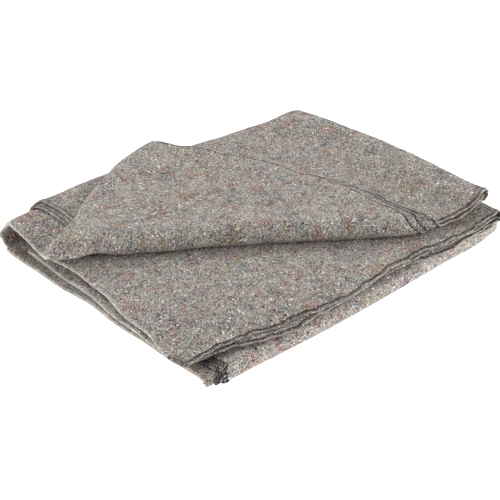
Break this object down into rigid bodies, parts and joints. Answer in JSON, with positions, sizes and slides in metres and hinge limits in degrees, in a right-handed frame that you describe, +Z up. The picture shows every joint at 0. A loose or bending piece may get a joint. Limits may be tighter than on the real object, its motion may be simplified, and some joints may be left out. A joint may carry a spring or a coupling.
{
  "type": "wool blanket",
  "caption": "Felted wool blanket folded into a flat, layered pack, with the near corner of its top stack turned back. It lies flat on a surface.",
  "frame": {"origin": "middle of the underside of the bounding box, on the surface that the blanket lies on", "axes": "+X from the side of the free long edges to the side of the bends, +Y from the front, where the cloth's ends lie, to the back, +Z up"},
  "size_m": [0.5276, 0.4472, 0.0703],
  "materials": {
    "felted_wool": "matt, felted, flecked grey-brown wool"
  },
  "bodies": {
    "root": {"blanket": "felted_wool"}
  },
  "joints": []
}
